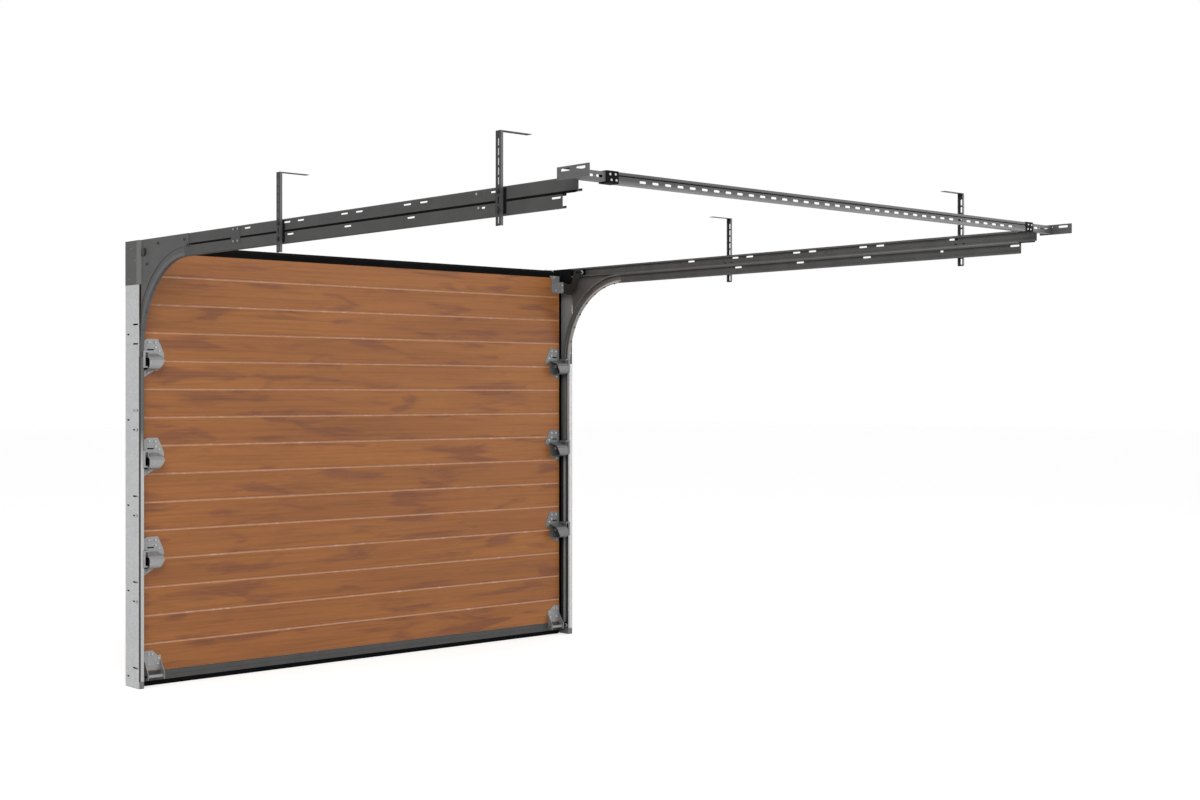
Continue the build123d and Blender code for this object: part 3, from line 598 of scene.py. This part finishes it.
def roller_hubs(side, word):
    hubs = bmesh.new()
    face = across(side, track_middle - wheel_half)
    spots = [(axle_y, row) for row in hinge_rows]
    spots += [(axle_y, bottom_axle_z), (top_axle_y, track_top - track_tall / 2)]
    for y, z in spots:
        add_stud(hubs, (face, y, z), (-side, 0, 0), ring_radius, ring_high, 24, 0.3)
        add_stud(hubs, (face, y, z), (-side, 0, 0), hub_radius, hub_high, 20, 0.3)
    finish_piece(hubs, f"roller_hubs_{word}", "galvanised")


# Bent tracks: rivets along the inner rim of the bend, spaced in degrees
bend_rivet_radius = 0.0065
bend_rivet_count = 7
bend_rivet_first = 15.0
bend_rivet_pitch = 11.5


def bend_rivets(side, word):
    rivets = bmesh.new()
    middle = Vector((across(side, track_middle), bend_mid_y, bend_mid_z))
    for step in range(bend_rivet_count):
        angle = math.radians(bend_rivet_first + bend_rivet_pitch * step)
        out = Vector((0, math.cos(angle), math.sin(angle)))
        add_rivet(rivets, middle + out * bend_inner, -out, bend_rivet_radius)
    finish_piece(rivets, f"bend_rivets_{word}", "dark_steel")


# Corner plates: bolts to the rail and the post, and the clip at the fold
corner_outer = track_outer + 0.002
corner_bolt_size = 0.0075
corner_bolt_spots = ((-0.627, 2.188), (-0.600, 2.216), (-0.330, 2.216), (-0.215, 2.120))
corner_clip_thick = 0.006
corner_clip = (
    (-0.166, 2.162), (-0.196, 2.162), (-0.204, 2.172), (-0.204, 2.192), (-0.196, 2.200), (-0.166, 2.200),
)


def corner_fittings(side, word):
    bolts = bmesh.new()
    for y, z in corner_bolt_spots:
        add_bolt(bolts, (across(side, corner_outer), y, z), (side, 0, 0), corner_bolt_size)
    finish_piece(bolts, f"corner_bolts_{word}", "dark_steel")
    clip = bmesh.new()
    outline = [(across(side, corner_outer + 0.0005), y, z) for y, z in corner_clip]
    add_plate(clip, outline, (side, 0, 0), corner_clip_thick, 0.0012)
    finish_piece(clip, f"corner_clip_{word}", "black_steel")


# Rails: a cover over the front joint and two nut plates before the rear hanger, with their rivets
rail_slot_z = track_top - 0.015
cover_sheet = 0.0012
cover_plates = (
    rectangle(-1.120, -1.040, 2.163, 2.239),
    rectangle(-2.901, -2.843, rail_slot_z - 0.0085, rail_slot_z + 0.0085),
    rectangle(-2.904, -2.866, 2.166, 2.182),
)
rail_rivet_radius = 0.0055
rail_rivet_spots = (
    (-1.060, 2.229), (-1.100, 2.229), (-1.060, 2.174), (-1.100, 2.174),
    (-2.872, rail_slot_z), (-2.884, 2.174),
)


def rail_covers(side, word):
    covers = bmesh.new()
    for plate in cover_plates:
        outline = [(across(side, track_outer), y, z) for y, z in plate]
        add_plate(covers, outline, (side, 0, 0), cover_sheet, 0.0004)
    finish_piece(covers, f"rail_covers_{word}", "dark_steel", rail_lit_and_shaded_coat[word])
    rivets = bmesh.new()
    for y, z in rail_rivet_spots:
        place = (across(side, track_outer + cover_sheet), y, z)
        add_rivet(rivets, place, (side, 0, 0), rail_rivet_radius)
    finish_piece(rivets, f"rail_rivets_{word}", "galvanised", hinge_zinc)


# Dark strip of painted shadow in the groove between both rails, before and behind the joint cover, lipped
# over their edges
rails_start_y = -0.662
shadow_strip_runs = ((rails_start_y, -1.036), (-1.124, -3.440))
shadow_strip_section = (
    (-0.0034, -0.0032), (-0.0034, 0.0032), (0.0003, 0.0048),
    (0.0007, 0.0040), (0.0007, -0.0040), (0.0003, -0.0048),
)


def rail_groove_shadow_strip(side, word):
    shadow_strip = bmesh.new()
    for start_y, end_y in shadow_strip_runs:
        outline = [(across(side, track_outer + dx), start_y, rails_joint_z + dz) for dx, dz in shadow_strip_section]
        add_plate(shadow_strip, outline, into_room, start_y - end_y, 0.0002)
    finish_piece(shadow_strip, f"rail_groove_shadow_strip_{word}", "seal_rubber")


# Pale seam where the lips of both rails meet, on the side towards the leaf: a strip of painted highlight
seam_end_y = -3.360
seam_section = ((0.0003, -0.0026), (0.0003, 0.0026), (-0.0008, 0.0020), (-0.0008, -0.0020))


def rail_highlight_seam(side, word):
    seam = bmesh.new()
    outline = [(across(side, track_mouth + dx), rails_start_y, rails_joint_z + dz) for dx, dz in seam_section]
    add_plate(seam, outline, into_room, rails_start_y - seam_end_y, 0.0002)
    finish_piece(seam, f"rail_highlight_seam_{word}", "galvanised", seam_highlight_zinc)


# Black strips along the inside of the posts, beside the edges of the leaf: painted shadow, made in the rubber
# slot
post_inner = post_half - 0.002
strip_bottom = 0.040
strip_long = 2.110
strip_section = ((0.0002, -0.017), (0.0002, -0.045), (0.0036, -0.042), (0.0036, -0.020))


def edge_shadow_strip(side, word):
    strip = bmesh.new()
    outline = [(across(side, post_inner - dx), y, strip_bottom) for dx, y in strip_section]
    add_plate(strip, outline, upwards, strip_long, 0.0006)
    finish_piece(strip, f"edge_shadow_strip_{word}", "seal_rubber")


# Front lips of the posts, from the foot up to where the tracks bend away
lip_outer = post_half - 0.0004
lip_bottom = 0.037
lip_long = 1.623
lip_section = (
    (0.0, -0.1452), (0.0, -0.1468), (0.0230, -0.1468),
    (0.0230, -0.1434), (0.0214, -0.1434), (0.0214, -0.1452),
)


def post_lip(side, word):
    lip = bmesh.new()
    outline = [(across(side, lip_outer - dx), y, lip_bottom) for dx, y in lip_section]
    add_plate(lip, outline, upwards, lip_long, 0.0003)
    finish_piece(lip, f"post_lip_{word}", "galvanised", lip_light_and_shade[word])


# Wall anchors in the flanges of the posts, with their washers and shanks
anchor_size = 0.0088
anchor_shank_radius = 0.0052
anchor_shank_long = 0.0018
anchor_count = 4
anchor_offset = 1.348
anchor_first = 0.250
anchor_pitch = 0.600
flange_sheet = 0.002


def wall_anchors(side, word):
    anchors = bmesh.new()
    for step in range(anchor_count):
        place = (across(side, anchor_offset), -flange_sheet, anchor_first + anchor_pitch * step)
        add_bolt(anchors, place, into_room, anchor_size)
        add_stud(anchors, place, into_wall, anchor_shank_radius, anchor_shank_long, 20)
    finish_piece(anchors, f"wall_anchors_{word}", "black_steel")


# Dark bolts that clamp the hangers to both rails: two through each hanger and two inside the rails
hanger_places = (-1.473, -3.018)
hanger_outer = track_outer + 0.014
hanger_bolt_size = 0.0085
hanger_bolt_drops = (0.020, 0.088)
clamp_inner = track_outer - 0.002
clamp_bolt_size = 0.006
clamp_bolt_shifts = (-0.023, 0.023)
clamp_bolt_z = rails_joint_z + 0.012


def clamp_bolts(side, word):
    bolts = bmesh.new()
    for y in hanger_places:
        for drop in hanger_bolt_drops:
            place = (across(side, hanger_outer), y, track_top - drop)
            add_bolt(bolts, place, (side, 0, 0), hanger_bolt_size)
        for shift in clamp_bolt_shifts:
            place = (across(side, clamp_inner), y + shift, clamp_bolt_z)
            add_bolt(bolts, place, (-side, 0, 0), clamp_bolt_size)
    finish_piece(bolts, f"clamp_bolts_{word}", "black_steel")


# Posts: three round bolts and one nut plate on the outside of the web
post_bolt_y = -0.116
post_bolt_heights = (0.4355, 0.8655, 1.2955)
post_bolt_radius = 0.0105
post_bolt_high = 0.0024
post_crown_radius = 0.006
post_crown_high = 0.0012
nut_plate = rectangle(-0.094, -0.130, 1.385, 1.400)
nut_plate_sheet = 0.003
nut_screw_y = -0.112
nut_screw_z = 1.3925
nut_screw_radius = 0.0045
nut_screw_high = 0.004


def post_fittings(side, word):
    bolts = bmesh.new()
    for z in post_bolt_heights:
        foot = (across(side, post_half), post_bolt_y, z)
        crown = (across(side, post_half + post_bolt_high), post_bolt_y, z)
        add_stud(bolts, foot, (side, 0, 0), post_bolt_radius, post_bolt_high, 24, 0.35)
        add_stud(bolts, crown, (side, 0, 0), post_crown_radius, post_crown_high, 16, 0.35)
    finish_piece(bolts, f"post_bolts_{word}", "galvanised")
    nut = bmesh.new()
    outline = [(across(side, post_half), y, z) for y, z in nut_plate]
    add_plate(nut, outline, (side, 0, 0), nut_plate_sheet, 0.0008)
    screw = (across(side, post_half + nut_plate_sheet), nut_screw_y, nut_screw_z)
    add_stud(nut, screw, (side, 0, 0), nut_screw_radius, nut_screw_high, 12)
    finish_piece(nut, f"post_nut_{word}", "galvanised")


def clamp_and_post_fittings(side, word):
    clamp_bolts(side, word)
    post_fittings(side, word)


# Brackets: bolts on the top plate, through both sides of the roller arm, and on the bottom plate
top_plate_y = leaf_front - 0.006
top_bolt_radius = 0.0068
top_bolt_high = 0.0045
top_bolt_spots = ((1.334, 2.190), (1.350, 2.112))
arm_outer = leaf_half + 0.002
arm_inner = leaf_half - 0.005
arm_bolt_size = 0.007
arm_nut_size = 0.006
arm_bolt_spots = ((-0.120, 2.112), (-0.121, 2.142))
bottom_plate_y = leaf_front - 0.003
bottom_bolt_spots = ((1.355, 0.160), (1.335, 0.160), (1.300, 0.136), (1.355, 0.110), (1.305, 0.110))


def bracket_bolts(side, word):
    bolts = bmesh.new()
    for offset, z in top_bolt_spots:
        place = (across(side, offset), top_plate_y, z)
        add_stud(bolts, place, into_room, top_bolt_radius, top_bolt_high)
    for y, z in arm_bolt_spots:
        add_bolt(bolts, (across(side, arm_outer), y, z), (side, 0, 0), arm_bolt_size)
        add_bolt(bolts, (across(side, arm_inner), y, z), (-side, 0, 0), arm_nut_size)
    for offset, z in bottom_bolt_spots:
        place = (across(side, offset), bottom_plate_y, z)
        add_stud(bolts, place, into_room, leaf_bolt_radius, leaf_bolt_high)
    finish_piece(bolts, f"bracket_bolts_{word}", "galvanised")


# Axle clips: a ring beside each tube on the inner end of the axle
axle_clip_radius = 0.0078
axle_clip_high = 0.0022
hinge_clip_offset = leaf_half - 0.059
bottom_clip_offset = leaf_half - 0.0965


def axle_clips(side, word):
    clips = bmesh.new()
    spots = [(hinge_clip_offset, row) for row in hinge_rows] + [(bottom_clip_offset, bottom_axle_z)]
    for offset, z in spots:
        place = (across(side, offset), axle_y, z)
        add_stud(clips, place, (side, 0, 0), axle_clip_radius, axle_clip_high, 20, 0.3)
    finish_piece(clips, f"axle_clips_{word}", "galvanised")


# Screws through the connectors at the ends of the cross bar
bar_half = (bar_high.x - bar_low.x) / 2
connector_y = bar_low.y - 0.002
bar_screw_radius = 0.0045
bar_screw_high = 0.003
bar_screw_spots = ((0.010, 0.010), (0.040, 0.030), (0.034, 0.010), (0.014, 0.031))


def bar_screws(side, word):
    screws = bmesh.new()
    for offset, up in bar_screw_spots:
        place = (across(side, bar_half + offset), connector_y, bar_low.z + up)
        add_stud(screws, place, into_room, bar_screw_radius, bar_screw_high, 12)
    finish_piece(screws, f"bar_screws_{word}", "galvanised")


for make_fittings in (
    hinge_fittings, roller_hubs, bend_rivets, corner_fittings, rail_covers, rail_groove_shadow_strip, rail_highlight_seam,
    edge_shadow_strip, post_lip, wall_anchors, clamp_and_post_fittings, bracket_bolts, axle_clips, bar_screws,
):
    for side, word in sides:
        make_fittings(side, word)


# One for the rays that look at the backdrop: from the camera, and off or through the object
def looking_rays(tree):
    rays = add_node(tree, "ShaderNodeLightPath").outputs
    seen = calculate(tree, "MAXIMUM", rays["Is Camera Ray"], rays["Is Glossy Ray"])
    return calculate(tree, "MAXIMUM", seen, rays["Is Transmission Ray"])


# Pale floor that keeps the shadow of the door
floor_half = 60.0


def make_floor():
    shape = bmesh.new()
    bmesh.ops.create_grid(shape, x_segments=1, y_segments=1, size=floor_half)
    mesh = bpy.data.meshes.new("studio_floor")
    shape.to_mesh(mesh)
    shape.free()
    floor = bpy.data.objects.new("studio_floor", mesh)
    scene.collection.objects.link(floor)
    material, tree, shader = start_material("pale_floor")
    shader.inputs["Base Color"].default_value = solid(grey(0.8))
    shader.inputs["Roughness"].default_value = 0.95
    shader.inputs["Emission Color"].default_value = solid(grey(1.0))
    lift = multiply(tree, looking_rays(tree), 0.50)
    tree.links.new(lift, shader.inputs["Emission Strength"])
    mesh.materials.append(material)


# White backdrop, which lights the door more softly than it shows
def make_backdrop():
    world = bpy.data.worlds.new("studio_world")
    scene.world = world
    world.use_nodes = True
    tree = world.node_tree
    inputs = {"Value": looking_rays(tree), "To Min": 0.55, "To Max": 1.0}
    strength = add_node(tree, "ShaderNodeMapRange", None, inputs).outputs["Result"]
    background = tree.nodes["Background"]
    background.inputs["Color"].default_value = solid(grey(1.0))
    tree.links.new(strength, background.inputs["Strength"])


# Soft square lamps, with their places, widths and watts, aimed at the middle of the door
lamps = (
    ("key_light", (-4.5, -7.5, 5.5), 4.0, 400.0),
    ("fill_light", (6.5, -6.5, 4.0), 4.0, 150.0),
)


def make_lamps():
    for name, place, width, power in lamps:
        data = bpy.data.lights.new(name, "AREA")
        data.size = width
        data.energy = power
        lamp = bpy.data.objects.new(name, data)
        lamp.location = place
        aim = (cad_low + cad_high) / 2 - Vector(place)
        lamp.rotation_euler = aim.to_track_quat("-Z", "Y").to_euler()
        scene.collection.objects.link(lamp)


make_floor()
make_backdrop()
make_lamps()
scene.view_settings.view_transform = "Standard"
